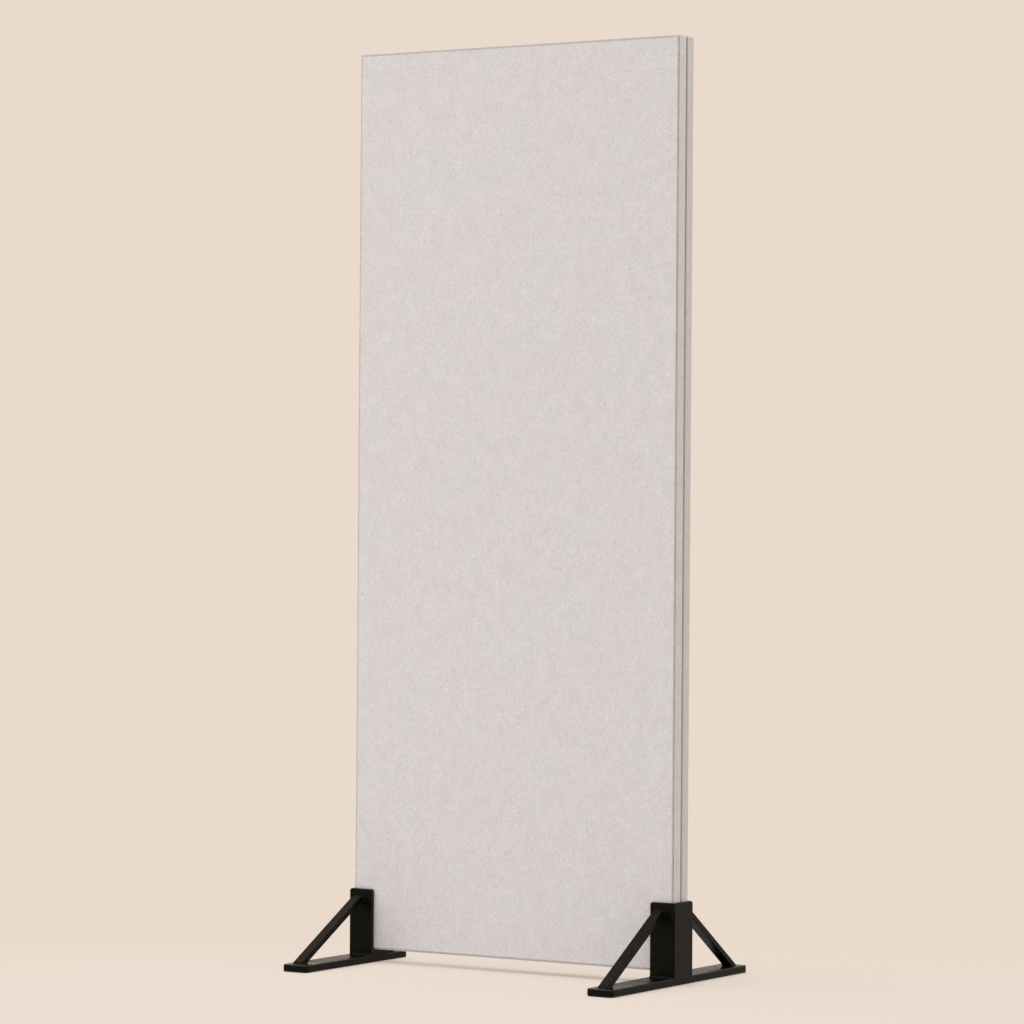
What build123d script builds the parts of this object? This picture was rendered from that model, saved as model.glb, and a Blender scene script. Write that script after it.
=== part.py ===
from build123d import *
from math import asin, atan2, cos, degrees, hypot, sin
import os

# A free-standing office partition. Two fabric-wrapped boards stand back to back, and each lower
# corner drops into an open-topped pocket on a braced steel foot.
# Lengths are in millimetres. X runs along the panel, the front looks towards -Y and Z is up.
# The origin is on the floor, halfway along the panel and halfway between the ends of the longer foot.

# Boards
board_width = 700.0
board_height = 1700.0
board_depth = 25.0
board_gap = 4.0  # between the two boards
board_edge_radius = 4.0

# Layers of a board, from the outward face to the gap
fabric_thickness = 1.2
felt_thickness = 2.8
skin_thickness = 2.8
hem_width = 34.0  # fabric turned in at the back
lining_clearance = 0.3
least_radius = 0.5

# Timber frame inside a board
stile_width = 40.0
rail_width = 40.0
rail_place_shares = (0, 1 / 3, 2 / 3, 1)  # of the height left over by one rail
infill_clearance = 0.5
frame_dowel_radius = 3.0
frame_dowel_length = 30.0
frame_dowel_place_shares = (1 / 4, 3 / 4)  # of the rail's width

# What joins the boards
spacer_inset = 12.0
spacer_width = 20.0
joining_dowel_radius = 4.0
joining_dowel_depth = 12.0  # into each board
joining_dowel_place_shares = (1 / 6, 1 / 2, 5 / 6)  # of the board's height
dowel_clearance = 0.1
dowel_end_gap = 0.8

# Feet: arms are measured from the panel's middle plane to the end of the base bar
front_arm = 254.0
right_rear_arm = 240.0
left_rear_arm = 86.0
base_width = 54.0
base_thickness = 13.5
base_corner_radius = 7.0
base_edge_radius = 2.0

# Pads under the base bars
pad_length = 42.0
pad_width = 34.0
pad_inset = 12.0
pad_recess = 2.0
pad_stand = 0.5  # how far the pads lift the bar off the floor
pad_corner_radius = 3.0

# Pocket
left_pocket_height = 125.0  # above the base bar
right_pocket_height = 136.0
pocket_width = 52.0
cheek_thickness = 5.5
outer_plate_thickness = 6.0
saddle_thickness = 10.7
saddle_cove_radius = 4.0
saddle_cove_share = 0.6  # of the cove's radius, how far it climbs the cheeks
pocket_clearance = 0.5  # panel to each cheek and to the outer plate
seat_clearance = 0.3  # panel to the saddle
pocket_corner_radius = 5.0
pocket_arris_radius = 1.2

# Braces: flat bar, cut level at the top and upright at the toe
brace_width = 20.0
brace_thickness = 10.0
brace_edge_radius = 0.8
front_brace_drop = 15.0  # top of the pocket to the brace's level cut
rear_brace_drop = 10.5
brace_contact = 6.0  # height of the brace's seat on the cheek
front_brace_toe_gap = 21.0  # toe to the end of the base bar
rear_brace_toe_gap = 16.5
brace_toe_height = 3.0
front_brace_offset = 5.0  # to the left of the pocket's middle

# Weld beads, triangular
weld_leg = 3.0

# Length that cuts run past what they cut
overrun = 40.0

panel_depth = 2 * board_depth + board_gap
panel_y = (front_arm - right_rear_arm) / 2
base_top = pad_stand + base_thickness
saddle_top = base_top + saddle_thickness
panel_bottom = saddle_top + seat_clearance
pocket_heights = {-1: left_pocket_height, 1: right_pocket_height}
pocket_tops = {side: base_top + height for side, height in pocket_heights.items()}
brace_drops = {-1: front_brace_drop, 1: rear_brace_drop}
brace_toe_gaps = {-1: front_brace_toe_gap, 1: rear_brace_toe_gap}
pocket_half_depth = panel_depth / 2 + pocket_clearance
upright_half_depth = pocket_half_depth + cheek_thickness
plate_inner_x = board_width / 2 + pocket_clearance
foot_outer_x = plate_inner_x + outer_plate_thickness
pocket_inner_x = foot_outer_x - pocket_width
base_inner_x = foot_outer_x - base_width

core_width = board_width - 2 * fabric_thickness
core_height = board_height - 2 * fabric_thickness
frame_start = fabric_thickness + felt_thickness
frame_end = board_depth - fabric_thickness - skin_thickness
skin_end = board_depth - fabric_thickness
void_radius = max(board_edge_radius - fabric_thickness, least_radius)
stile_inner_x = core_width / 2 - stile_width
joining_x = board_width / 2 - spacer_inset - spacer_width / 2


def block(x_limits, y_limits, z_limits):
    """A box between three pairs of limits, each pair in any order."""
    lows = [min(pair) for pair in (x_limits, y_limits, z_limits)]
    sizes = [abs(pair[1] - pair[0]) for pair in (x_limits, y_limits, z_limits)]
    return Pos(*lows) * Box(*sizes, align=(Align.MIN, Align.MIN, Align.MIN))


def rod(centre, radius, length, axis):
    """A round bar about its centre, along X, Y or Z."""
    turns = {Axis.X: Rot(0, 90, 0), Axis.Y: Rot(90, 0, 0), Axis.Z: Rot(0, 0, 0)}
    return Pos(*centre) * turns[axis] * Cylinder(radius, length)


def group(solids):
    """Several separate solids as one node."""
    return Compound([solid for piece in solids for solid in piece.solids()])


# Boards. In these functions a board's outward face is at y = 0, its depth runs along +Y, and its
# underside is at z = 0.


def board_form():
    """The outside of a wrapped board, with every edge rounded."""
    form = block((-board_width / 2, board_width / 2), (0, board_depth), (0, board_height))
    return fillet(form.edges(), board_edge_radius)


def core_form():
    """The space inside the fabric."""
    form = block(
        (-core_width / 2, core_width / 2),
        (fabric_thickness, skin_end),
        (fabric_thickness, fabric_thickness + core_height),
    )
    return fillet(form.edges(), void_radius)


def layer(start, end):
    """A slice through the whole board between two depths."""
    reach = board_width / 2 + overrun
    return block((-reach, reach), (start, end), (-overrun, board_height + overrun))


def hem_opening(start, end, clearance):
    """The opening inside the turned-in hem, drawn in by a clearance."""
    edge = hem_width + clearance
    half = board_width / 2 - edge
    return block((-half, half), (start, end), (edge, board_height - edge))


def rail_bottoms():
    """Heights of the four rails' lower edges."""
    spare = core_height - rail_width
    return [fabric_thickness + share * spare for share in rail_place_shares]


def frame_dowel_centres():
    """Centres of the dowels that join the rails to the stiles, two at each rail end."""
    middle = (frame_start + frame_end) / 2
    heights = [z + share * rail_width for z in rail_bottoms() for share in frame_dowel_place_shares]
    return [(side * stile_inner_x, middle, z) for side in (-1, 1) for z in heights]


def frame_dowel_holes():
    """Holes for the frame dowels."""
    radius = frame_dowel_radius + dowel_clearance
    length = frame_dowel_length + 2 * dowel_end_gap
    return [rod(centre, radius, length, Axis.X) for centre in frame_dowel_centres()]


def joining_heights():
    """Heights of the blind dowels that join the boards, above the boards' underside."""
    return [share * board_height for share in joining_dowel_place_shares]


def joining_holes(side):
    """Blind holes for the joining dowels along one side of a board, from its back."""
    radius = joining_dowel_radius + dowel_clearance
    depth = joining_dowel_depth + dowel_end_gap
    centre_y = board_depth - depth / 2 + overrun / 2
    length = depth + overrun
    return [rod((side * joining_x, centre_y, z), radius, length, Axis.Y) for z in joining_heights()]


def face_fabric():
    """The outward sheet, cut at the arris where it meets the side band."""
    return board_form() & layer(0, fabric_thickness)


def side_band():
    """Fabric round the four narrow sides, turned in at the back as a hem."""
    band = board_form() & layer(fabric_thickness, board_depth)
    band = band - core_form() - hem_opening(skin_end - overrun, board_depth + overrun, 0)
    for side in (-1, 1):
        band = band - joining_holes(side)
    return band


def lining():
    """Cloth that closes the back inside the hem."""
    return hem_opening(skin_end, board_depth, lining_clearance)


def face_felt():
    """Wadding under the face fabric."""
    return core_form() & layer(fabric_thickness, frame_start)


def back_skin():
    """Thin hardboard that stiffens the frame from behind."""
    skin = core_form() & layer(frame_end, skin_end)
    for side in (-1, 1):
        skin = skin - joining_holes(side)
    return skin


def stile(side):
    """An upright timber of the frame, bored for the dowels."""
    timber = block(
        (side * stile_inner_x, side * core_width / 2),
        (frame_start, frame_end),
        (fabric_thickness, fabric_thickness + core_height),
    )
    timber = timber & core_form()
    return timber - joining_holes(side) - frame_dowel_holes()


def rail(bottom):
    """A cross timber between the stiles."""
    timber = block(
        (-stile_inner_x, stile_inner_x),
        (frame_start, frame_end),
        (bottom, bottom + rail_width),
    )
    return timber - frame_dowel_holes()


def infill(lower_rail_bottom, upper_rail_bottom):
    """A slab of sound-absorbing wool between two rails."""
    half = stile_inner_x - infill_clearance
    low = lower_rail_bottom + rail_width + infill_clearance
    return block((-half, half), (frame_start, frame_end), (low, upper_rail_bottom - infill_clearance))


def frame_dowels():
    """All the dowels of one frame."""
    return group(
        rod(centre, frame_dowel_radius, frame_dowel_length, Axis.X) for centre in frame_dowel_centres()
    )


def board(name, facing):
    """One wrapped board in place. Facing is 1 for the front board and -1 for the rear one."""
    turn = 0 if facing > 0 else 180
    place = Pos(0, panel_y - facing * panel_depth / 2, panel_bottom) * Rot(0, 0, turn)
    bottoms = rail_bottoms()
    pieces = {
        "face_fabric": face_fabric(),
        "side_band": side_band(),
        "lining": lining(),
        "face_felt": face_felt(),
        "back_skin": back_skin(),
        "left_stile": stile(-facing),
        "right_stile": stile(facing),
        "frame_dowels": frame_dowels(),
    }
    for rail_name, bottom in zip(("bottom", "lower", "upper", "top"), bottoms):
        pieces[f"{rail_name}_rail"] = rail(bottom)
    for bay_name, low, high in zip(("lower", "middle", "upper"), bottoms, bottoms[1:]):
        pieces[f"{bay_name}_infill"] = infill(low, high)
    return {f"{name}_{key}": place * piece for key, piece in pieces.items()}


# What stands between the boards


def spacers():
    """Four strips in the gap, set in from the boards' edges."""
    y_limits = (panel_y - board_gap / 2, panel_y + board_gap / 2)
    outer_x = board_width / 2 - spacer_inset
    inner_x = outer_x - spacer_width
    low = panel_bottom + spacer_inset
    high = panel_bottom + board_height - spacer_inset
    pieces = {}
    for name, side in (("left", -1), ("right", 1)):
        strip = block((side * inner_x, side * outer_x), y_limits, (low, high))
        radius = joining_dowel_radius + dowel_clearance
        for z in joining_heights():
            centre = (side * joining_x, panel_y, panel_bottom + z)
            strip = strip - rod(centre, radius, board_gap + overrun, Axis.Y)
        pieces[f"{name}_spacer"] = strip
    pieces["bottom_spacer"] = block((-inner_x, inner_x), y_limits, (low, low + spacer_width))
    pieces["top_spacer"] = block((-inner_x, inner_x), y_limits, (high - spacer_width, high))
    return pieces


def joining_dowels():
    """Blind dowels through the spacers into both boards."""
    length = board_gap + 2 * joining_dowel_depth
    return group(
        rod((side * joining_x, panel_y, panel_bottom + z), joining_dowel_radius, length, Axis.Y)
        for side in (-1, 1)
        for z in joining_heights()
    )


# Feet. Side is -1 for the left foot and 1 for the right one, and way is -1 towards the front and 1
# towards the rear.


def base_bar(side, rear_arm):
    """The flat bar on the floor, recessed underneath for its pads."""
    x_limits = (side * base_inner_x, side * foot_outer_x)
    y_limits = (panel_y - front_arm, panel_y + rear_arm)
    bar = block(x_limits, y_limits, (pad_stand, base_top))
    bar = fillet(bar.edges().filter_by(Axis.Z), base_corner_radius)
    rims = bar.faces().sort_by(Axis.Z)[0].edges() + bar.faces().sort_by(Axis.Z)[-1].edges()
    bar = fillet(rims, base_edge_radius)
    # The rounding stops where the pocket's outer plate runs down flush with the bar's side.
    shoulder = block(
        (side * (foot_outer_x - outer_plate_thickness), side * foot_outer_x),
        (panel_y - upright_half_depth, panel_y + upright_half_depth),
        (base_top - base_thickness / 2, base_top),
    )
    bar = bar + shoulder
    for way, arm in ((-1, front_arm), (1, rear_arm)):
        bar = bar - pad_form(side, way, arm, pad_stand + pad_recess)
    return bar


def pad_form(side, way, arm, top):
    """A floor pad from the floor up to a height."""
    middle_x = side * (foot_outer_x + base_inner_x) / 2
    far = panel_y + way * (arm - pad_inset)
    form = block(
        (middle_x - pad_width / 2, middle_x + pad_width / 2),
        (far - way * pad_length, far),
        (0, top),
    )
    return fillet(form.edges().filter_by(Axis.Z), pad_corner_radius)


def cheek(side, way):
    """A front or rear wall of the pocket, inside the outer plate, with its inner top corner rounded."""
    plate = block(
        (side * pocket_inner_x, side * plate_inner_x),
        (panel_y + way * pocket_half_depth, panel_y + way * upright_half_depth),
        (base_top, pocket_tops[side]),
    )
    inner_corner = plate.edges().filter_by(Axis.Y).group_by(Axis.Z)[-1].sort_by(Axis.X)
    chosen = inner_corner[0] if side > 0 else inner_corner[-1]
    return fillet(chosen, pocket_corner_radius)


def outer_plate(side):
    """The wall that closes the pocket's outer side and covers the cheeks' ends."""
    plate = block(
        (side * plate_inner_x, side * foot_outer_x),
        (panel_y - upright_half_depth, panel_y + upright_half_depth),
        (base_top, pocket_tops[side]),
    )
    top_edges = plate.edges().filter_by(Axis.Y).group_by(Axis.Z)[-1].sort_by(Axis.X)
    plate = fillet(top_edges[-1] if side > 0 else top_edges[0], pocket_corner_radius)
    arrises = plate.edges().filter_by(Axis.Z).sort_by(Axis.X)
    chosen = arrises[-2:] if side > 0 else arrises[:2]
    return fillet(chosen, pocket_arris_radius)


def saddle(side):
    """The block that the panel stands on, hollowed to a cove at both cheeks."""
    climb = saddle_cove_radius * saddle_cove_share
    x_limits = (side * pocket_inner_x, side * plate_inner_x)
    y_limits = (panel_y - pocket_half_depth, panel_y + pocket_half_depth)
    body = block(x_limits, y_limits, (base_top, saddle_top + climb))
    reach = (side * (pocket_inner_x - overrun), side * (plate_inner_x + overrun))
    hollow = block(reach, y_limits, (saddle_top, pocket_tops[side] + overrun))
    hollow = fillet(hollow.edges().filter_by(Axis.X).group_by(Axis.Z)[0], saddle_cove_radius)
    return body - hollow


def brace_lines(side, way, arm):
    """Slope of a brace in radians, with the reach of its toe from the cheek."""
    toe = arm - upright_half_depth - brace_toe_gaps[way]
    rise = pocket_heights[side] - brace_drops[way] - brace_contact - brace_toe_height
    slope = atan2(rise, toe) + asin(brace_thickness / hypot(toe, rise))
    return slope, toe


def brace_middle_x(side, way):
    """Where a brace stands along X. The front ones stand a little to the left."""
    middle = side * (foot_outer_x + pocket_inner_x) / 2
    return middle - front_brace_offset if way < 0 else middle


def brace(side, way, arm):
    """A flat bar from the cheek down to the base bar, trimmed at both ends."""
    slope, toe = brace_lines(side, way, arm)
    level_cut = pocket_tops[side] - brace_drops[way]
    middle_x = brace_middle_x(side, way)
    face_y = panel_y + way * upright_half_depth
    middle_z = level_cut - brace_contact + brace_thickness / 2 / cos(slope)
    section = Plane(
        origin=(middle_x, face_y, middle_z), x_dir=(1, 0, 0), z_dir=(0, way * cos(slope), -sin(slope))
    )
    profile = section * RectangleRounded(brace_width, brace_thickness, brace_edge_radius)
    bar = extrude(profile, arm + pocket_heights[side], both=True)
    reach = (middle_x - brace_width, middle_x + brace_width)
    return bar & block(reach, (face_y, face_y + way * toe), (base_top, level_cut))


def weld_bead(x_limits, corner_y, corner_z, way):
    """A triangular bead along X in the corner between a level face and an upright one."""
    outline = Polyline(
        (corner_y, corner_z),
        (corner_y + way * weld_leg, corner_z),
        (corner_y, corner_z + weld_leg),
        close=True,
    )
    start = min(x_limits)
    section = Plane(origin=(start, 0, 0), x_dir=(0, 1, 0), z_dir=(1, 0, 0))
    return extrude(section * make_face(outline), abs(x_limits[1] - x_limits[0]))


def weld_beads(side, rear_arm):
    """Beads at the foot of both cheeks and at both ends of both braces."""
    cheek_limits = (side * pocket_inner_x, side * plate_inner_x)
    beads = []
    for way, arm in ((-1, front_arm), (1, rear_arm)):
        _, toe = brace_lines(side, way, arm)
        middle_x = brace_middle_x(side, way)
        brace_limits = (middle_x - brace_width / 2, middle_x + brace_width / 2)
        face_y = panel_y + way * upright_half_depth
        beads.append(weld_bead(cheek_limits, face_y, base_top, way))
        beads.append(weld_bead(brace_limits, face_y, pocket_tops[side] - brace_drops[way], way))
        beads.append(weld_bead(brace_limits, face_y + way * toe, base_top, way))
    return group(beads)


def foot(name, side, rear_arm):
    """All the pieces of one foot."""
    pieces = {
        "base_bar": base_bar(side, rear_arm),
        "outer_plate": outer_plate(side),
        "front_cheek": cheek(side, -1),
        "rear_cheek": cheek(side, 1),
        "saddle": saddle(side),
        "front_brace": brace(side, -1, front_arm),
        "rear_brace": brace(side, 1, rear_arm),
        "weld_beads": weld_beads(side, rear_arm),
        "front_pad": pad_form(side, -1, front_arm, pad_stand + pad_recess),
        "rear_pad": pad_form(side, 1, rear_arm, pad_stand + pad_recess),
    }
    return {f"{name}_{key}": piece for key, piece in pieces.items()}


def all_nodes():
    """Every node of the partition by name."""
    nodes = {}
    nodes.update(foot("left", -1, left_rear_arm))
    nodes.update(foot("right", 1, right_rear_arm))
    nodes.update(board("front", 1))
    nodes.update(board("rear", -1))
    nodes.update(spacers())
    nodes["joining_dowels"] = joining_dowels()
    return nodes


os.makedirs("parts", exist_ok=True)
for node_name, node_shape in all_nodes().items():
    export_step(node_shape, f"parts/{node_name}.step")
for foot_name, foot_side, rear_length in (("left", -1, left_rear_arm), ("right", 1, right_rear_arm)):
    for arm_name, arm_way, arm_length in (("front", -1, front_arm), ("rear", 1, rear_length)):
        slope_shown = round(degrees(brace_lines(foot_side, arm_way, arm_length)[0]), 1)
        print(foot_name, arm_name, "brace slope", slope_shown, "degrees")
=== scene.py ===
"""Looks of a free-standing office partition.

Two cloth-wrapped boards stand back to back in the pockets of two braced steel feet.
Lengths are in metres. X runs along the panel, the front looks towards -Y and Z is up.
"""

import logging
import math
from dataclasses import dataclass, field
from enum import Enum
from typing import Sequence

import bmesh
import bpy
import numpy as np
from mathutils import Matrix, Vector


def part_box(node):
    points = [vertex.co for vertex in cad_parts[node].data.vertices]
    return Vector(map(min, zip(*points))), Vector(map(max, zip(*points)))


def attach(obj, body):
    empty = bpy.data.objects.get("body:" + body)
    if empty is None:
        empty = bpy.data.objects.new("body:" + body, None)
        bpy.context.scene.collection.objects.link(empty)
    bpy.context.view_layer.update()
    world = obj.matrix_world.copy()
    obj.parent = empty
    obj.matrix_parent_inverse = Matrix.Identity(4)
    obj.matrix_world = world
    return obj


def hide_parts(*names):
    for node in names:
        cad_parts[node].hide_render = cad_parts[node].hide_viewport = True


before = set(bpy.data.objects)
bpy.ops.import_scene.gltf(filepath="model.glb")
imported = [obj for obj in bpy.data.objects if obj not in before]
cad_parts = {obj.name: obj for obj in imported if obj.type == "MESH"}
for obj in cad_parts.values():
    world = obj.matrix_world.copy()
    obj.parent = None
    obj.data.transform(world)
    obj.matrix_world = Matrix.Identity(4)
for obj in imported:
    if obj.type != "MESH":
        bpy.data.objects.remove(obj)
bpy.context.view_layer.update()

MM = 0.001
MERGE = 1e-6
TOUCH = 10 * MERGE
ACROSS = Vector((1, 0, 0))
UP = Vector((0, 0, 1))
FLAT_ANGLE = 0.5
SHARP_ANGLE = 35.0
EASED_SHADING = 50.0
WELD_SHADING = 40.0
EASE_FACES = 3
ROUND = 0.5
TIMBER = ((0.66, 0.50, 0.31), (0.50, 0.34, 0.18), 0.6, 9 * MM)
CLOTH_MAP = "cloth"
NEAR_SEAM = "near_seam"
NEAR_FOLD = "near_fold"
SLACK = "slack"

Colour = tuple[float, float, float]
Place = tuple[float, float, float]
Span = tuple[float, float]
Noise = tuple[float, float, float]
Section = list[tuple[float, float]]
Filled = tuple[bool, bool]
Socket = bpy.types.NodeSocket
Material = bpy.types.Material
Piece = bpy.types.Object
Shape = bmesh.types.BMesh
Vert = bmesh.types.BMVert
Vectors = list[Vector]

log = logging.getLogger("office_partition")


class Side(Enum):
    """Which end of the panel a foot stands at."""

    LEFT = -1
    RIGHT = 1


class Way(Enum):
    """Which way a board, cheek, brace or pad lies from the panel's middle."""

    FRONT = -1
    REAR = 1


class Arris(Enum):
    """How a coat tells where its steel's edges take their lighter colour, which is partly rubbed wear and
    partly a painted highlight.
    """

    MARKED = "arris"
    LEVEL = "level"


class Grain(Enum):
    """Direction of a timber's grain, as the stretch of its pattern along X, Y and Z."""

    ALONG = (0.06, 1.0, 1.0)
    UPRIGHT = (1.0, 1.0, 0.06)
    EVEN = (1.0, 1.0, 1.0)


class NodeBench:
    """Adds nodes to one material's or geometry's tree and joins them."""

    def __init__(self, tree: bpy.types.NodeTree) -> None:
        """Starts on a tree."""
        self.tree = tree

    def feed(self, node: bpy.types.Node, inputs: dict) -> None:
        """Sets or joins a node's inputs.

        Args:
            node: the node.
            inputs: values or sockets, by the input's name or number.
        """
        for key, value in inputs.items():
            if isinstance(value, Socket):
                self.tree.links.new(value, node.inputs[key])
            else:
                node.inputs[key].default_value = value

    def add(self, kind: str, inputs: dict | None = None, **settings: object) -> bpy.types.Node:
        """Adds a node.

        Args:
            kind: the node's type name.
            inputs: values or sockets for its inputs, by name or number.
            **settings: the node's own properties.

        Returns:
            The new node.
        """
        node = self.tree.nodes.new(kind)
        for key, value in settings.items():
            setattr(node, key, value)
        self.feed(node, inputs or {})
        return node

    def place(self) -> Socket:
        """The object's own coordinates."""
        return self.add("ShaderNodeTexCoord").outputs["Object"]

    def maths(self, operation: str, first: object, second: object = 0.0) -> Socket:
        """Adds a maths node and returns its result."""
        return self.add("ShaderNodeMath", {0: first, 1: second}, operation=operation).outputs[0]

    def scaled(self, vector: object, scale: Sequence[float], turn: float = 0.0) -> Socket:
        """Turns coordinates about their third axis, in degrees, and scales them."""
        turned = self.add("ShaderNodeMapping", {"Vector": vector, "Rotation": (0, 0, math.radians(turn))})
        return self.add("ShaderNodeMapping", {"Vector": turned.outputs[0], "Scale": scale}).outputs[0]

    def noise(self, vector: object, pattern: Noise) -> Socket:
        """Adds a noise pattern.

        Args:
            vector: the coordinates.
            pattern: its pitch, its octaves and the strength of the finer ones.

        Returns:
            The pattern, from 0 to 1 about a half.
        """
        pitch, octaves, rough = pattern
        inputs = {"Vector": vector, "Scale": 1 / pitch, "Detail": octaves, "Roughness": rough}
        return self.add("ShaderNodeTexNoise", inputs).outputs[0]

    def spread(
        self, value: object, low: float, high: float, to_low: float = 0.0, to_high: float = 1.0
    ) -> Socket:
        """Maps one range of a value on another, without going past its ends."""
        inputs = {"Value": value, "From Min": low, "From Max": high, "To Min": to_low, "To Max": to_high}
        return self.add("ShaderNodeMapRange", inputs, clamp=True).outputs[0]

    def mixed(self, share: object, first: object, second: object, blend: str = "MIX") -> Socket:
        """Mixes two colours by a share of the second."""
        inputs = {0: share, 6: first, 7: second}
        return self.add("ShaderNodeMix", inputs, data_type="RGBA", blend_type=blend).outputs[2]

    def bump(self, height: object, strength: float, depth: float) -> Socket:
        """Turns a pattern of heights into a bumped normal."""
        inputs = {"Height": height, "Strength": strength, "Distance": depth}
        return self.add("ShaderNodeBump", inputs).outputs[0]


def rgba(colour: Sequence[float]) -> tuple[float, ...]:
    """A colour with full opacity."""
    return (*colour, 1.0)


def new_material(name: str) -> tuple[Material, NodeBench, bpy.types.Node]:
    """Starts a material.

    Args:
        name: the material's name.

    Returns:
        The material, the bench for its tree, and its surface shader.
    """
    material = bpy.data.materials.new(name)
    material.use_nodes = True
    shader = material.node_tree.nodes["Principled BSDF"]
    return material, NodeBench(material.node_tree), shader


@dataclass(frozen=True)
class MelangeCloth:
    """Pale wool cloth: spun fibres of several tones, lightly felted over a plain weave."""

    name: str
    colour: Colour = (0.685, 0.645, 0.643)
    rosy: Colour = (1.012, 0.99, 0.997)
    mossy: Colour = (0.985, 1.006, 0.995)
    dark_fibre: float = 0.56
    fibre: Noise = (0.7 * MM, 2.0, 0.6)
    fibre_range: Span = (0.25, 0.75)
    fibre_turns: tuple[float, ...] = (4.0, 38.0, -41.0, 87.0)
    fibre_stretch: Place = (1.0, 0.09, 1.0)
    yarn_pitch: float = 1.1 * MM
    weave_tone: Span = (0.97, 1.03)
    weave_height: float = 0.35
    mottle: Noise = (27 * MM, 5.0, 0.97)
    mottle_range: Span = (0.3, 0.7)
    mottle_tone: Span = (0.92, 1.08)
    mottle_stretch: Place = (1.0, 0.7, 1.0)
    cloud: Noise = (90 * MM, 4.0, 0.7)
    cloud_range: Span = (0.34, 0.66)
    bump_strength: float = 0.6
    bump_depth: float = 0.25 * MM
    # Painted shade: a factor that darkens the cloth near its front arris, in and beside the seam's groove or
    # the gap between the boards.
    seam_shade: float = 1.0
    seam_range: Span = (0.93, 0.99)
    # Painted highlight: a factor that lightens the cloth along its fold at the gap.
    fold_highlight: float = 1.0
    fold_highlight_range: Span = (0.2, 0.9)
    GLOSS = {"Roughness": 0.95, "Specular IOR Level": 0.15, "Sheen Weight": 0.12, "Sheen Roughness": 0.45}

    def build(self) -> Material:
        """Makes the material.

        Returns:
            The material, ready to put on a piece.
        """
        material, bench, shader = new_material(self.name)
        flat = bench.add("ShaderNodeUVMap", uv_map=CLOTH_MAP).outputs[0]
        fibres = self._fibres(bench, flat)
        weave = self._weave(bench, flat)
        mottle = bench.noise(bench.scaled(flat, self.mottle_stretch), self.mottle)
        cloud = bench.noise(bench.place(), self.cloud)
        tint = bench.mixed(bench.spread(cloud, *self.cloud_range), rgba(self.mossy), rgba(self.rosy))
        tone = bench.spread(fibres, *self.fibre_range, self.dark_fibre, 2.0 - self.dark_fibre)
        tone = bench.maths("MULTIPLY", tone, bench.spread(mottle, *self.mottle_range, *self.mottle_tone))
        tone = bench.maths("MULTIPLY", tone, bench.spread(weave, -1.0, 1.0, *self.weave_tone))
        # Painted shade near the seam and the gap, and a painted highlight along the fold.
        tone = self._pressed(bench, tone, NEAR_SEAM, self.seam_range, self.seam_shade)
        tone = self._pressed(bench, tone, NEAR_FOLD, self.fold_highlight_range, self.fold_highlight)
        shade = bench.add("ShaderNodeCombineColor", {0: tone, 1: tone, 2: tone}).outputs[0]
        colour = bench.mixed(1.0, rgba(self.colour), tint, "MULTIPLY")
        height = bench.maths("ADD", bench.maths("MULTIPLY", weave, self.weave_height), fibres)
        surface = {
            "Base Color": bench.mixed(1.0, colour, shade, "MULTIPLY"),
            "Normal": bench.bump(height, self.bump_strength, self.bump_depth),
            **self.GLOSS,
        }
        bench.feed(shader, surface)
        return material

    def _pressed(self, bench: NodeBench, tone: object, attribute: str, reach: Span, painted_factor: float) -> object:
        """Paints shade or light on the cloth near a seam or a fold: painted shade in and beside the seam's
        groove or the gap, and a painted highlight along the fold.

        Args:
            bench: the material's bench.
            tone: the cloth's tone before.
            attribute: the mesh's own measure of nearness.
            reach: the measure at which the change starts, and at which it is full.
            painted_factor: the full painted shade or highlight, as a factor.

        Returns:
            The new tone.
        """
        if painted_factor == 1.0:
            return tone
        near = bench.add("ShaderNodeAttribute", attribute_name=attribute).outputs["Fac"]
        return bench.maths("MULTIPLY", tone, bench.spread(near, *reach, 1.0, painted_factor))

    def _fibres(self, bench: NodeBench, flat: Socket) -> Socket:
        """Crossing fibres, each direction a noise drawn out along its length.

        Args:
            bench: the material's bench.
            flat: coordinates on the cloth as it was cut.

        Returns:
            The mean of the directions.
        """
        total: object = 0.0
        for turn in self.fibre_turns:
            drawn = bench.scaled(flat, self.fibre_stretch, turn)
            total = bench.maths("ADD", total, bench.noise(drawn, self.fibre))
        return bench.maths("DIVIDE", total, float(len(self.fibre_turns)))

    def _weave(self, bench: NodeBench, flat: Socket) -> Socket:
        """A plain weave.

        Args:
            bench: the material's bench.
            flat: coordinates on the cloth as it was cut.

        Returns:
            The pattern, from -1 in the hollows to 1 on the yarns.
        """
        parts = bench.add("ShaderNodeSeparateXYZ", {0: flat}).outputs
        often = math.pi / self.yarn_pitch
        waves = [bench.maths("SINE", bench.maths("MULTIPLY", parts[axis], often)) for axis in (0, 1)]
        return bench.maths("MULTIPLY", *waves)


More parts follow.
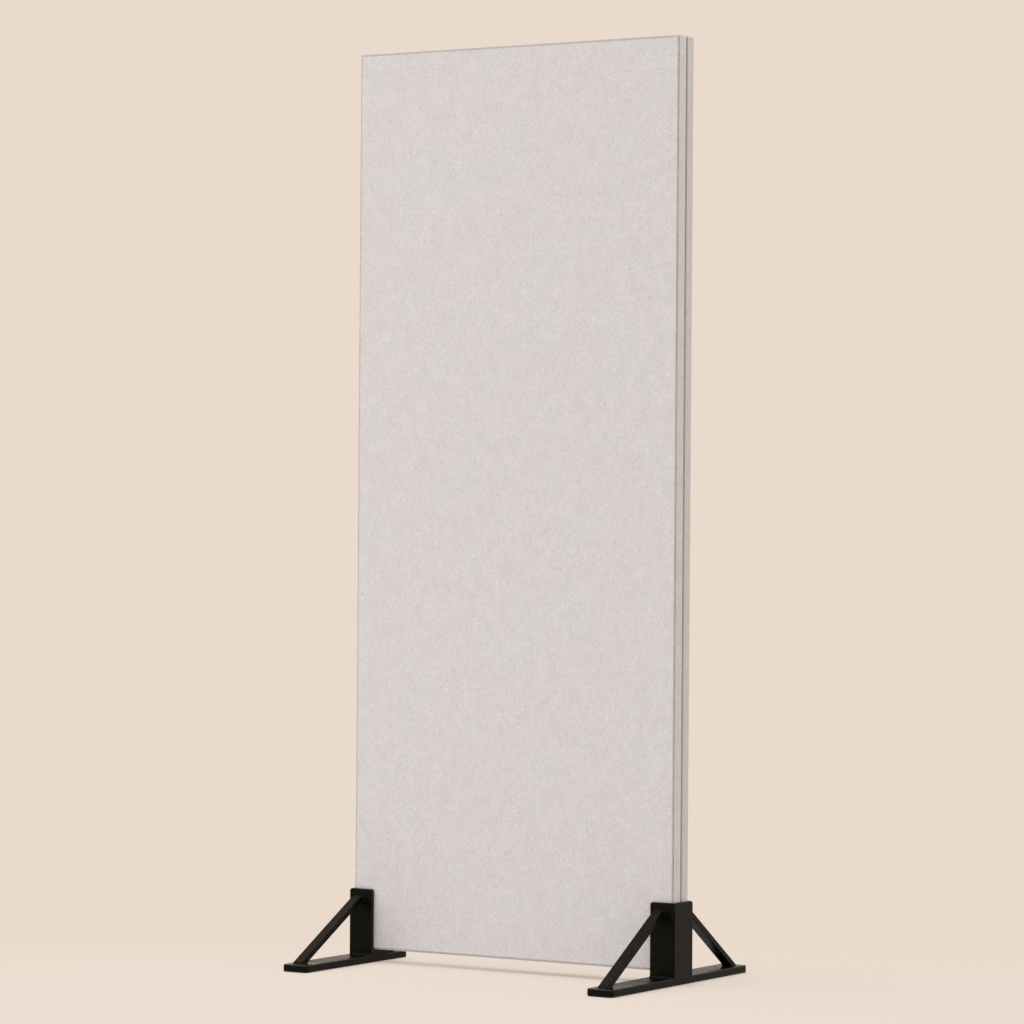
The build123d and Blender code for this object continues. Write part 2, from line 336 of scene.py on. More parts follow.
@dataclass(frozen=True)
class PowderCoat:
    """Black satin powder coat over steel, with its fine orange peel and slight unevenness of gloss."""

    name: str
    arris: Arris = Arris.MARKED
    colour: Colour = (0.0030, 0.0032, 0.0025)
    worn: Colour = (0.0044, 0.0046, 0.0036)
    worn_range: Span = (0.35, 0.7)
    # Lighter colour on the arrises: partly rubbed wear of the coat and partly a painted highlight of light
    # catching the edges.
    edge_wear_and_highlight: Colour = (0.034, 0.032, 0.027)
    roughness: Span = (0.21, 0.38)
    gloss_range: Span = (0.3, 0.7)
    specular: float = 0.079
    specular_tint: Colour = (1.0, 0.975, 0.83)
    cloud: Noise = (24 * MM, 4.0, 0.55)
    peel: Noise = (2.4 * MM, 2.0, 0.5)
    peel_strength: float = 0.5
    peel_depth: float = 0.016 * MM
    tip_start: Span = (0.12, 0.4)
    tip_end: Span = (0.9, 0.995)

    def build(self) -> Material:
        """Makes the material.

        Returns:
            The material, ready to put on a piece.
        """
        material, bench, shader = new_material(self.name)
        place = bench.place()
        cloud, peel = bench.noise(place, self.cloud), bench.noise(place, self.peel)
        coat = bench.mixed(bench.spread(cloud, *self.worn_range), rgba(self.colour), rgba(self.worn))
        surface = {
            "Base Color": bench.mixed(self._arris_share(bench), coat, rgba(self.edge_wear_and_highlight)),
            "Roughness": bench.spread(cloud, *self.gloss_range, *self.roughness),
            "Normal": bench.bump(peel, self.peel_strength, self.peel_depth),
            "Specular IOR Level": self.specular,
            "Specular Tint": rgba(self.specular_tint),
        }
        bench.feed(shader, surface)
        return material

    def _arris_share(self, bench: NodeBench) -> Socket:
        """Where the edges take the lighter colour of wear and painted highlight, from the mesh's marks or
        from how far its surface tips.

        Args:
            bench: the material's bench.

        Returns:
            1 on a worn and highlighted edge and 0 elsewhere.
        """
        if self.arris is Arris.MARKED:
            return bench.add("ShaderNodeAttribute", attribute_name=self.arris.value).outputs["Fac"]
        normal = bench.add("ShaderNodeTexCoord").outputs["Normal"]
        tip = bench.maths("ABSOLUTE", bench.add("ShaderNodeSeparateXYZ", {0: normal}).outputs[2])
        falling = bench.spread(tip, *self.tip_end, 1.0, 0.0)
        return bench.maths("MULTIPLY", bench.spread(tip, *self.tip_start), falling)


@dataclass(frozen=True)
class PlainFinish:
    """A finish of two tones in a drawn-out or even pattern: timber, board, felt, rubber or foam.

    Each of its two noises is given by its octaves and the strength of the finer ones.
    """

    name: str
    pale: Colour
    dark: Colour
    roughness: float
    pitch: float
    grain: Grain = Grain.EVEN
    depth: float = 0.1 * MM
    sheen: float = 0.0
    coarse_noise: Span = (4.0, 0.6)
    coarse_share: float = 0.65
    fine_noise: Span = (2.0, 0.5)
    fine_share: float = 0.35
    fine_times: float = 7.0
    tone_range: Span = (0.36, 0.64)
    bump_strength: float = 0.5

    def build(self) -> Material:
        """Makes the material.

        Returns:
            The material, ready to put on a piece.
        """
        material, bench, shader = new_material(self.name)
        drawn = bench.scaled(bench.place(), self.grain.value)
        coarse = bench.noise(drawn, (self.pitch, *self.coarse_noise))
        fine = bench.noise(drawn, (self.pitch / self.fine_times, *self.fine_noise))
        coarse = bench.maths("MULTIPLY", coarse, self.coarse_share)
        both = bench.maths("ADD", coarse, bench.maths("MULTIPLY", fine, self.fine_share))
        surface = {
            "Base Color": bench.mixed(bench.spread(both, *self.tone_range), rgba(self.dark), rgba(self.pale)),
            "Normal": bench.bump(both, self.bump_strength, self.depth),
            "Roughness": self.roughness,
            "Sheen Weight": self.sheen,
        }
        bench.feed(shader, surface)
        return material


def made(recipe: MelangeCloth | PowderCoat | PlainFinish) -> Material:
    """A field that holds a recipe's material once it is made."""
    return field(default_factory=recipe.build)


def plain(name: str, pale: Colour, dark: Colour, roughness: float, pitch: float, **rest: object) -> Material:
    """A field that holds the material of a plain finish."""
    return made(PlainFinish(name, pale, dark, roughness, pitch, **rest))


@dataclass(frozen=True)
class Finishes:
    """Every finish of the partition, made once."""

    # Seam factors below 1 paint shade along the seam and beside the gap; the band's fold factor above 1
    # paints a highlight.
    face_cloth: Material = made(MelangeCloth("face_cloth_melange", seam_shade=0.70, seam_range=(0.70, 0.85)))
    band_cloth: Material = made(
        MelangeCloth("band_cloth_melange", colour=(0.645, 0.588, 0.553), seam_shade=0.96, fold_highlight=1.14)
    )
    cover_cloth: Material = made(
        MelangeCloth("cover_cloth_melange", colour=(0.61, 0.55, 0.515), seam_shade=0.72)
    )
    black_steel: Material = made(PowderCoat("black_powder_coat"))
    bar_steel: Material = made(PowderCoat("black_powder_coat_bar", arris=Arris.LEVEL))
    thread: Material = plain(
        "sewing_thread", (0.52, 0.48, 0.46), (0.40, 0.37, 0.35), 0.8, 0.4 * MM, depth=0.05 * MM
    )
    pad_rubber: Material = plain("pad_rubber", (0.022, 0.022, 0.022), (0.012, 0.012, 0.012), 0.7, 2 * MM)
    gap_strip: Material = plain("gap_strip_foam", (0.035, 0.031, 0.029), (0.018, 0.016, 0.015), 0.9, 0.8 * MM)
    stile_timber: Material = plain("stile_timber", *TIMBER, grain=Grain.UPRIGHT)
    rail_timber: Material = plain("rail_timber", *TIMBER, grain=Grain.ALONG)
    dowel_wood: Material = plain("dowel_beech", (0.68, 0.47, 0.30), (0.55, 0.36, 0.21), 0.5, 3 * MM)
    hardboard: Material = plain("back_hardboard", (0.34, 0.21, 0.12), (0.22, 0.13, 0.07), 0.55, 1.5 * MM)
    wool_slab: Material = plain("wool_slab", (0.62, 0.56, 0.42), (0.42, 0.37, 0.25), 0.95, 6 * MM, sheen=0.1)
    wadding: Material = plain(
        "felt_wadding", (0.80, 0.79, 0.77), (0.66, 0.65, 0.63), 0.95, 4 * MM, sheen=0.1
    )
    lining: Material = plain(
        "lining_cotton", (0.46, 0.45, 0.44), (0.36, 0.35, 0.34), 0.9, 1.2 * MM, sheen=0.1
    )


# Meshes and how they are declared


def made_mesh(shape: Shape, name: str) -> bpy.types.Mesh:
    """Turns an edited shape into a mesh and frees it.

    Args:
        shape: the shape.
        name: the mesh's name.

    Returns:
        The new mesh.
    """
    mesh = bpy.data.meshes.new(name)
    shape.to_mesh(mesh)
    shape.free()
    return mesh


def new_piece(name: str, mesh: bpy.types.Mesh, material: Material) -> Piece:
    """Puts a mesh in the scene as one piece.

    Args:
        name: the piece's name.
        mesh: its mesh, with its place in it.
        material: its finish.

    Returns:
        The new object.
    """
    mesh.name = name
    mesh.materials.clear()
    mesh.materials.append(material)
    piece = bpy.data.objects.new(name, mesh)
    bpy.context.scene.collection.objects.link(piece)
    return piece


def declare(piece: Piece, body: str, nodes: Sequence[str] = ()) -> None:
    """Ties a piece to its body and hides the CAD nodes that it stands for.

    Args:
        piece: the piece.
        body: the body that it rides on.
        nodes: the CAD nodes that it replaces.
    """
    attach(piece, body)
    if nodes:
        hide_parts(*nodes)
    log.info("%s: %d faces", piece.name, len(piece.data.polygons))


def dress_node(node: str, material: Material) -> None:
    """Gives a CAD node that stays as it is its finish.

    Args:
        node: the node's name.
        material: its finish.
    """
    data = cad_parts[node].data
    data.materials.clear()
    data.materials.append(material)
    log.info("%s: CAD node", node)


def settle(piece: Piece) -> None:
    """Turns a piece with live modifiers into a plain mesh.

    Args:
        piece: the piece, which keeps its name.
    """
    graph = bpy.context.evaluated_depsgraph_get()
    live = piece.evaluated_get(graph)
    shaped = bpy.data.meshes.new_from_object(live, preserve_all_data_layers=True, depsgraph=graph)
    piece.modifiers.clear()
    old = piece.data
    piece.data = shaped
    shaped.name = piece.name
    if old.users == 0:
        bpy.data.meshes.remove(old)


def smooth_by_angle(mesh: bpy.types.Mesh, degrees: float) -> None:
    """Shades a mesh smooth, apart from edges sharper than an angle."""
    mesh.shade_smooth()
    mesh.set_sharp_from_angle(angle=math.radians(degrees))


def merged_copy(node: str) -> Shape:
    """The shape of one CAD node with its triangles joined and its flat faces whole.

    Args:
        node: the CAD node's name.

    Returns:
        A mesh to edit, which the caller frees.
    """
    shape = bmesh.new()
    shape.from_mesh(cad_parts[node].data)
    bmesh.ops.remove_doubles(shape, verts=shape.verts, dist=MERGE)
    flat = math.radians(FLAT_ANGLE)
    bmesh.ops.dissolve_limit(shape, angle_limit=flat, verts=shape.verts, edges=shape.edges)
    return shape


def eased_copy(
    node: str, name: str, material: Material, ease: float, seats: Sequence[tuple[int, float]] = ()
) -> Piece:
    """A CAD node's shape with its sharp edges rounded, apart from those in a seat.

    Args:
        node: the CAD node that the piece stands for.
        name: the piece's name.
        material: its finish.
        ease: radius of the rounding.
        seats: planes in which it meets other steel, each an axis number and a place on it.

    Returns:
        The new piece, with its rounded faces marked as arrises.
    """
    shape = merged_copy(node)
    marks = shape.faces.layers.float.new(Arris.MARKED.value)
    sharp = math.radians(SHARP_ANGLE)

    def eased(edge: bmesh.types.BMEdge) -> bool:
        """Whether an edge is sharp and lies in none of the seats."""
        seated = any(all(abs(v.co[axis] - place) < TOUCH for v in edge.verts) for axis, place in seats)
        return len(edge.link_faces) == 2 and edge.calc_face_angle() > sharp and not seated

    edges = [edge for edge in shape.edges if eased(edge)]
    how = {"affect": "EDGES", "clamp_overlap": True, "offset_type": "OFFSET"}
    rounded = bmesh.ops.bevel(shape, geom=edges, offset=ease, segments=EASE_FACES, profile=ROUND, **how)
    for face in rounded["faces"]:
        face[marks] = 1.0
    bmesh.ops.dissolve_degenerate(shape, dist=MERGE, edges=shape.edges)
    mesh = made_mesh(shape, name)
    smooth_by_angle(mesh, EASED_SHADING)
    piece = new_piece(name, mesh, material)
    piece.modifiers.new("even_shading", "WEIGHTED_NORMAL").keep_sharp = True
    settle(piece)
    return piece


def add_cloth_map(mesh: bpy.types.Mesh) -> None:
    """Gives a mesh a map in metres, in which each face lies as its cloth was cut.

    Args:
        mesh: the mesh.
    """
    layer = mesh.uv_layers.new(name=CLOTH_MAP)
    points = np.empty(len(mesh.vertices) * 3)
    mesh.vertices.foreach_get("co", points)
    points = points.reshape(-1, 3)
    normals = np.empty(len(mesh.polygons) * 3)
    mesh.polygons.foreach_get("normal", normals)
    facing = np.abs(normals.reshape(-1, 3)).argmax(axis=1)
    sizes = np.empty(len(mesh.polygons), int)
    mesh.polygons.foreach_get("loop_total", sizes)
    corners = np.empty(len(mesh.loops), int)
    mesh.loops.foreach_get("vertex_index", corners)
    # The axes of the flat map, for a face that looks along X, Y or Z
    across = np.array([1, 0, 0])[np.repeat(facing, sizes)]
    along = np.array([2, 2, 1])[np.repeat(facing, sizes)]
    flat = np.stack([points[corners, across], points[corners, along]], axis=1)
    layer.data.foreach_set("uv", flat.ravel())


@dataclass(frozen=True)
class Divisions:
    """How many faces run along a board's outline, and over each part of its section."""

    across: int = 200
    upright: int = 486
    corner: int = 5
    arc: int = 8
    crisp: int = 5
    flat: int = 6
    side: int = 7
    hem: int = 5


def outline(width: float, height: float, inset: float, corner: float, divisions: Divisions) -> np.ndarray:
    """A rounded rectangle about the origin, anticlockwise as the front sees it.

    Args:
        width: of the whole rectangle.
        height: of the whole rectangle.
        inset: how far the outline lies inside it.
        corner: radius of its corners, before the inset.
        divisions: faces along its sides and corners.

    Returns:
        Points as X and Z.
    """
    half = np.array([width, height]) / 2 - inset
    radius = max(corner - inset, 0.0)
    arcs = []
    for sign, start in (((1, -1), -90), ((1, 1), 0), ((-1, 1), 90), ((-1, -1), 180)):
        angles = np.radians(np.linspace(start, start + 90, divisions.corner + 1))
        arcs.append((half - radius) * sign + radius * np.stack([np.cos(angles), np.sin(angles)], axis=1))
    points = []
    for number, arc in enumerate(arcs):
        steps = divisions.across if number % 2 else divisions.upright
        shares = np.linspace(0, 1, steps + 1)[1:-1, None]
        points += [arc, arc[-1] * (1 - shares) + arcs[(number + 1) % 4][0] * shares]
    return np.concatenate(points)


def arc_points(centre: Span, radius: float, start: float, end: float, steps: int) -> Section:
    """Points on an arc of a board's section, as inset and depth, with its angles in degrees."""
    angles = np.radians(np.linspace(start, end, steps + 1))
    return [(centre[0] - radius * math.cos(a), centre[1] - radius * math.sin(a)) for a in angles]


class PieceTree:
    """Geometry nodes that shape a piece, with its sizes and its finish as named inputs."""

    NAME = ""
    FINISH = ""
    INPUTS: tuple[tuple[str, float], ...] = ()

    def __init__(self) -> None:
        """Builds the tree round the steps that are its own."""
        self.tree = bpy.data.node_groups.new(self.NAME, "GeometryNodeTree")
        make = self.tree.interface.new_socket
        make(name="Geometry", in_out="INPUT", socket_type="NodeSocketGeometry")
        make(name="Geometry", in_out="OUTPUT", socket_type="NodeSocketGeometry")
        kinds = {name: "NodeSocketFloat" for name, _ in self.INPUTS}
        kinds[self.FINISH] = "NodeSocketMaterial"
        self.sockets = {
            name: make(name=name, in_out="INPUT", socket_type=kind) for name, kind in kinds.items()
        }
        bench = NodeBench(self.tree)
        given = bench.add("NodeGroupInput").outputs
        whole = bench.add("GeometryNodeRealizeInstances", {"Geometry": self._steps(bench, given)})
        dress = {"Geometry": whole.outputs[0], "Material": given[self.FINISH]}
        bench.add("NodeGroupOutput", {0: bench.add("GeometryNodeSetMaterial", dress).outputs[0]})

    def _steps(self, bench: NodeBench, given: bpy.types.NodeOutputs) -> Socket:
        """The tree's own steps, which each kind of tree gives."""
        raise NotImplementedError

    def apply(self, piece: Piece, finish: Material) -> None:
        """Shapes one piece and settles it to a plain mesh.

        Args:
            piece: the mesh that the tree starts from.
            finish: its material.
        """
        modifier = piece.modifiers.new(self.NAME, "NODES")
        modifier.node_group = self.tree
        for name, size in self.INPUTS:
            modifier[self.sockets[name].identifier] = size
        modifier[self.sockets[self.FINISH].identifier] = finish
        settle(piece)


class SoftClothTree(PieceTree):
    """Lets stretched cloth pucker along its seam and wave a little between."""

    NAME = "soft_cloth"
    FINISH = "Cloth"
    INPUTS = (
        ("Pucker Depth", 0.3 * MM),
        ("Pucker Length", 19 * MM),
        ("Wave Depth", 0.2 * MM),
        ("Wave Length", 160 * MM),
        ("Seed", 3.0),
    )
    OCTAVES = 1.0
    MIDDLE = 0.5
    SWING = 4.0

    def _steps(self, bench: NodeBench, given: bpy.types.NodeOutputs) -> Socket:
        """Moves each point along its normal.

        Args:
            bench: the tree's bench.
            given: the tree's inputs.

        Returns:
            The moved cloth.
        """
        place = bench.add("GeometryNodeInputPosition").outputs[0]
        normal = bench.add("GeometryNodeInputNormal").outputs[0]
        moves = []
        for kind, attribute in (("Pucker", NEAR_SEAM), ("Wave", SLACK)):
            often = bench.maths("DIVIDE", 1.0, given[f"{kind} Length"])
            inputs = {"Vector": place, "W": given["Seed"], "Scale": often, "Detail": self.OCTAVES}
            pattern = bench.add("ShaderNodeTexNoise", inputs, noise_dimensions="4D").outputs[0]
            swing = bench.maths("SUBTRACT", pattern, self.MIDDLE)
            swing = bench.maths("MULTIPLY", swing, given[f"{kind} Depth"])
            named = {"Name": attribute}
            share = bench.add("GeometryNodeInputNamedAttribute", named, data_type="FLOAT").outputs[0]
            moves.append(bench.maths("MULTIPLY", bench.maths("MULTIPLY", swing, self.SWING), share))
        total = {0: normal, "Scale": bench.maths("ADD", *moves)}
        shift = bench.add("ShaderNodeVectorMath", total, operation="SCALE").outputs[0]
        moved = {"Geometry": given["Geometry"], "Offset": shift}
        return bench.add("GeometryNodeSetPosition", moved).outputs[0]


class StitchTree(PieceTree):
    """Lays a row of stitches along a seam."""

    NAME = "seam_stitches"
    FINISH = "Yarn"
    INPUTS = (("Pitch", 4.0 * MM), ("Stitch Length", 3.3 * MM), ("Thread", 0.5 * MM))
    BALL = {"Segments": 8, "Rings": 6, "Radius": 0.5}

    def _steps(self, bench: NodeBench, given: bpy.types.NodeOutputs) -> Socket:
        """Sets a drawn-out ball on the line at each stitch.

        Args:
            bench: the tree's bench.
            given: the tree's inputs, with the seam as a closed line.

        Returns:
            The stitches.
        """
        line = bench.add("GeometryNodeMeshToCurve", {"Mesh": given["Geometry"]}).outputs[0]
        spaced = {"Curve": line, "Length": given["Pitch"]}
        tangent = bench.add("GeometryNodeInputTangent").outputs[0]
        turn = bench.add("FunctionNodeAlignRotationToVector", {"Vector": tangent}, axis="Z").outputs[0]
        size = {0: given["Thread"], 1: given["Thread"], 2: given["Stitch Length"]}
        placed = {
            "Points": bench.add("GeometryNodeResampleCurve", spaced, mode="LENGTH").outputs[0],
            "Instance": bench.add("GeometryNodeMeshUVSphere", self.BALL).outputs[0],
            "Rotation": turn,
            "Scale": bench.add("ShaderNodeCombineXYZ", size).outputs[0],
        }
        return bench.add("GeometryNodeInstanceOnPoints", placed).outputs[0]


@dataclass
class WrappedBoard:
    """One board: its cloth outside, and the wadding, frame and wool slabs inside."""

    way: Way
    finishes: Finishes
    soft_cloth: SoftClothTree
    stitches: StitchTree
    body: str = "panel"
    corner: float = 3.5 * MM
    seam_radius: float = 1.2 * MM
    seam_slit: float = 0.3 * MM
    seam_tuck: float = 0.5 * MM
    stitch_depth: float = 2.4 * MM
    crisp_radius: float = 1.8 * MM
    full_radius: float = 4.0 * MM
    fold_radius: float = 2.2 * MM
    fold_reach: float = 5.0 * MM
    wadding_radius: float = 1.2 * MM
    wadding_inset: float = 5.0 * MM
    wadding_fill: float = 0.9
    wool_ease: float = 0.6 * MM
    wool_fill: float = 0.95
    lining_ease: float = 0.3 * MM
    pucker_reach: float = 9 * MM
    taut: Span = (8 * MM, 60 * MM)
    hem: float = 34 * MM
    allowance: float = 8 * MM
    cloth: float = 1.1 * MM
    rim: float = 22 * MM
    fringe: float = 6 * MM
    grid_step: float = 26 * MM
    divisions: Divisions = Divisions()
    wadding_divisions: Divisions = Divisions(across=27, upright=65, corner=3, arc=3)

    def __post_init__(self) -> None:
        """Reads the board's place from the frame."""
        self.name = self.way.name.lower()
        corners = [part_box(f"{self.name}_{part}") for part in ("face_fabric", "side_band")]
        self.low = Vector(min(c[0][axis] for c in corners) for axis in range(3))
        self.high = Vector(max(c[1][axis] for c in corners) for axis in range(3))
        self.size = self.high - self.low
        self.middle = (self.low + self.high) / 2

    def build(self) -> None:
        """Makes and dresses every piece of the board."""
        if self.way is Way.FRONT:
            self._front_cloths()
            self._seam()
        else:
            self._rear_cloth()
        self._wadding()
        self._inside()

    def _seam_arc(self) -> Section:
        """Section of the face cloth's edge, rolled over and tucked into the seam's slit.

        Returns:
            Points as inset and depth.
        """
        radius = self.seam_radius
        start = radius + math.sqrt(2) * (radius + self.seam_slit / 2)
        arc = arc_points((start, radius), radius, 90, -45, self.divisions.arc)
        tuck = self.seam_tuck / math.sqrt(2)
        return arc + [(arc[-1][0] + tuck, arc[-1][1] + tuck)]

    def _face_section(self) -> Section:
        """Section of the face cloth from its flat middle out to the seam.

        Returns:
            Points as inset and depth.
        """
        arc = self._seam_arc()
        insets = np.geomspace(self.rim, arc[0][0], self.divisions.flat + 1)[:-1]
        return [(float(inset), 0.0) for inset in insets] + arc

    def _turned_section(self, first: Section, reach: float, radius: float) -> Section:
        """Section round the side to a rounding and the flat beyond it.

        Args:
            first: its first points, at the front.
            reach: how far in the flat goes.
            radius: the rounding's radius.

        Returns:
            Points as inset and depth.
        """
        depth = self.size.y
        level = np.linspace(first[-1][1], depth - radius, self.divisions.side + 1)[1:-1]
        turned = arc_points((radius, depth - radius), radius, 0, -90, self.divisions.arc)
        beyond = np.geomspace(radius, reach, self.divisions.hem + 1)[1:]
        return first + [(0.0, float(b)) for b in level] + turned + [(float(a), depth) for a in beyond]

    def _loft(
        self, name: str, section: Section, filled: Filled, material: Material, divisions: Divisions
    ) -> Piece:
        """Lofts a section round the board's outline.

        Args:
            name: the piece's name.
            section: insets and depths, from the board's front inwards.
            filled: whether the middle is filled before the first ring and after the last one.
            material: its finish.
            divisions: faces along the outline.

        Returns:
            The new piece, with its nearness to the seam and the fold and its slack as attributes.
        """
        shape = bmesh.new()
        rings = []
        for inset, depth in section:
            points = outline(self.size.x, self.size.z, inset, self.corner, divisions)
            rings.append([shape.verts.new(self._at(x, depth, z)) for x, z in points])
        for near, far in zip(rings, rings[1:]):
            for four in zip(near, far, far[1:] + far[:1], near[1:] + near[:1]):
                shape.faces.new(four)
        for ring, wanted, sign in ((rings[0], filled[0], -1), (rings[-1], filled[1], 1)):
            if wanted:
                self._fill(shape, ring, sign)
        bmesh.ops.remove_doubles(shape, verts=shape.verts, dist=MERGE)
        self._mark(shape)
        mesh = made_mesh(shape, name)
        mesh.shade_smooth()
        return new_piece(name, mesh, material)

    def _at(self, x: float, depth: float, z: float) -> Vector:
        """A point by its place across and up from the board's middle and its depth from the front."""
        return Vector((self.middle.x + x, self.low.y + depth, self.middle.z + z))

    def _mark(self, shape: Shape) -> None:
        """Notes how near each point is to the seam and to the fold, and how slack the cloth is there.

        Args:
            shape: the cloth, which takes the three attributes.
        """
        near_seam, slack, near_fold = (shape.verts.layers.float.new(n) for n in (NEAR_SEAM, SLACK, NEAR_FOLD))
        for vert in shape.verts:
            x, y, z = vert.co
            edge = min(self.size.x / 2 - abs(x - self.middle.x), self.size.z / 2 - abs(z - self.middle.z))
            front, back = math.hypot(edge, y - self.low.y), math.hypot(edge, self.high.y - y)
            vert[near_seam] = math.exp(-((front / self.pucker_reach) ** 2))
            vert[near_fold] = math.exp(-((back / self.fold_reach) ** 2))
            vert[slack] = min(max((edge - self.taut[0]) / self.taut[1], 0.0), 1.0)

    def _fill(self, shape: Shape, ring: list[Vert], sign: int) -> None:
        """Fills the middle of a flat ring with a grid of even faces and a fringe of triangles.

        Args:
            shape: the mesh that holds the ring.
            ring: the ring's points.
            sign: 1 where the faces look along +Y, and -1 where they look along -Y.
        """
        place = np.array([v.co for v in ring])
        low, high = place.min(axis=0) + self.fringe, place.max(axis=0) - self.fringe
        columns, rows = (max(round((high[n] - low[n]) / self.grid_step), 2) for n in (0, 2))
        xs, zs = (np.linspace(low[n], high[n], count + 1) for n, count in ((0, columns), (2, rows)))
        grid = np.array([[shape.verts.new((x, place[0][1], z)) for x in xs] for z in zs], object)
        faces = []
        for near, far in zip(grid, grid[1:]):
            faces += [shape.faces.new(four) for four in zip(near, near[1:], far[1:], far)]
        border = [*grid[:, -1], *grid[-1, -2::-1], *grid[-2::-1, 0], *grid[0, 1:-1]]
        faces += self._zip(shape, ring, border)
        for face in faces:
            face.normal_update()
            if face.normal.y * sign < 0:
                face.normal_flip()

    def _zip(self, shape: Shape, outer: list[Vert], inner: list[Vert]) -> list[bmesh.types.BMFace]:
        """Joins two closed rings of unlike counts, both of which start at the same corner.

        Args:
            shape: the mesh that holds the rings.
            outer: the outer ring's points.
            inner: the inner ring's points.

        Returns:
            The triangles between them.
        """
        shares = []
        for ring in (outer, inner):
            steps = [(b.co - a.co).length for a, b in zip(ring, ring[1:] + ring[:1])]
            shares.append(np.cumsum(steps) / sum(steps))
        faces, i, j = [], 0, 0
        while i < len(outer) or j < len(inner):
            a, b = outer[i % len(outer)], inner[j % len(inner)]
            if j == len(inner) or (i < len(outer) and shares[0][i] <= shares[1][j]):
                i += 1
                faces.append(shape.faces.new((a, outer[i % len(outer)], b)))
            else:
                j += 1
                faces.append(shape.faces.new((a, inner[j % len(inner)], b)))
        return faces

    def _cloth(self, name: str, section: Section, filled: Filled, material: Material) -> Piece:
        """Makes one sheet of cloth, puckered near the front arris and with its thickness inwards.

        Args:
            name: the sheet's name, without the board's.
            section: insets and depths, from the board's front inwards.
            filled: whether the middle is filled before the first ring and after the last one.
            material: its finish.

        Returns:
            The new piece.
        """
        piece = self._loft(f"{self.name}_{name}", section, filled, material, self.divisions)
        self.soft_cloth.apply(piece, material)
        add_cloth_map(piece.data)
        wall = piece.modifiers.new("cloth", "SOLIDIFY")
        wall.thickness, wall.offset, wall.use_even_offset = self.cloth, -1.0, True
        settle(piece)
        return piece

    def _declare(self, piece: Piece, slot: str, *nodes: str) -> None:
        """Ties a piece to the panel and hides the board's CAD nodes that it stands for."""
        declare(piece, self.body, [f"{self.name}_{node}" for node in nodes])

    def _front_cloths(self) -> None:
        """Face cloth and side band, which meet along the front arris."""
        face = self._cloth("face_cloth", self._face_section(), (True, False), self.finishes.face_cloth)
        self._declare(face, "face_fabric", "face_fabric")
        first = [(b, a) for a, b in reversed(self._seam_arc())]
        section = self._turned_section(first, self.hem, self.fold_radius)
        band = self._cloth("band_cloth", section, (False, False), self.finishes.band_cloth)
        self._declare(band, "band_fabric", "side_band")

    def _seam(self) -> None:
        """Stitches that hold the face cloth to the side band, down in the seam."""
        meet = self.stitch_depth
        points = outline(self.size.x, self.size.z, meet, self.corner, self.divisions)
        count = len(points)
        path = bpy.data.meshes.new("seam")
        edges = [(j, (j + 1) % count) for j in range(count)]
        path.from_pydata([self._at(x, meet, z) for x, z in points], edges, [])
        seam = new_piece(f"{self.name}_seam_stitches", path, self.finishes.thread)
        self.stitches.apply(seam, self.finishes.thread)
        seam.data.shade_smooth()
        self._declare(seam, "band_fabric")

    def _rear_cloth(self) -> None:
        """One cloth over the rear face, round the sides and into a hem at the gap."""
        crisp = self.crisp_radius
        flat = [(float(a), 0.0) for a in np.geomspace(self.hem, crisp, self.divisions.hem + 1)[:-1]]
        arc = arc_points((crisp, crisp), crisp, 90, 0, self.divisions.crisp)
        section = self._turned_section(flat + arc, self.rim, self.full_radius)
        cover = self._cloth("cover_cloth", section, (False, True), self.finishes.cover_cloth)
        self._declare(cover, "face_fabric", "face_fabric", "side_band")

    def _wadding(self) -> None:
        """The felt under the face cloth, a thin pad with soft edges."""
        low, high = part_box(f"{self.name}_face_felt")
        radius, inset = self.wadding_radius, self.wadding_inset + self.wadding_radius
        start, end = low.y - self.low.y, high.y - self.low.y
        divisions = self.wadding_divisions
        section = arc_points((inset, start + radius), radius, 90, 0, divisions.arc)
        section += arc_points((inset, end - radius), radius, 0, -90, divisions.arc)
        name = f"{self.name}_face_wadding"
        pad = self._loft(name, section, (True, True), self.finishes.wadding, divisions)
        self._declare(pad, "felt", "face_felt")

    def _inside(self) -> None:
        """Wool slabs and lining, and the finish of the hardboard and the timber frame."""
        finishes = self.finishes
        for bay in ("lower", "middle", "upper"):
            node, name = f"{self.name}_{bay}_infill", f"{self.name}_{bay}_wool"
            wool = eased_copy(node, name, finishes.wool_slab, self.wool_ease)
            self._declare(wool, "wool_infill", f"{bay}_infill")
        node = f"{self.name}_lining"
        lining = eased_copy(node, f"{node}_cloth", finishes.lining, self.lining_ease)
        self._declare(lining, "lining_cloth", "lining")
        kept = {"back_skin": finishes.hardboard, "frame_dowels": finishes.dowel_wood}
        kept.update({f"{side}_stile": finishes.stile_timber for side in ("left", "right")})
        kept.update({f"{place}_rail": finishes.rail_timber for place in ("bottom", "lower", "upper", "top")})
        for node, material in kept.items():
            dress_node(f"{self.name}_{node}", material)


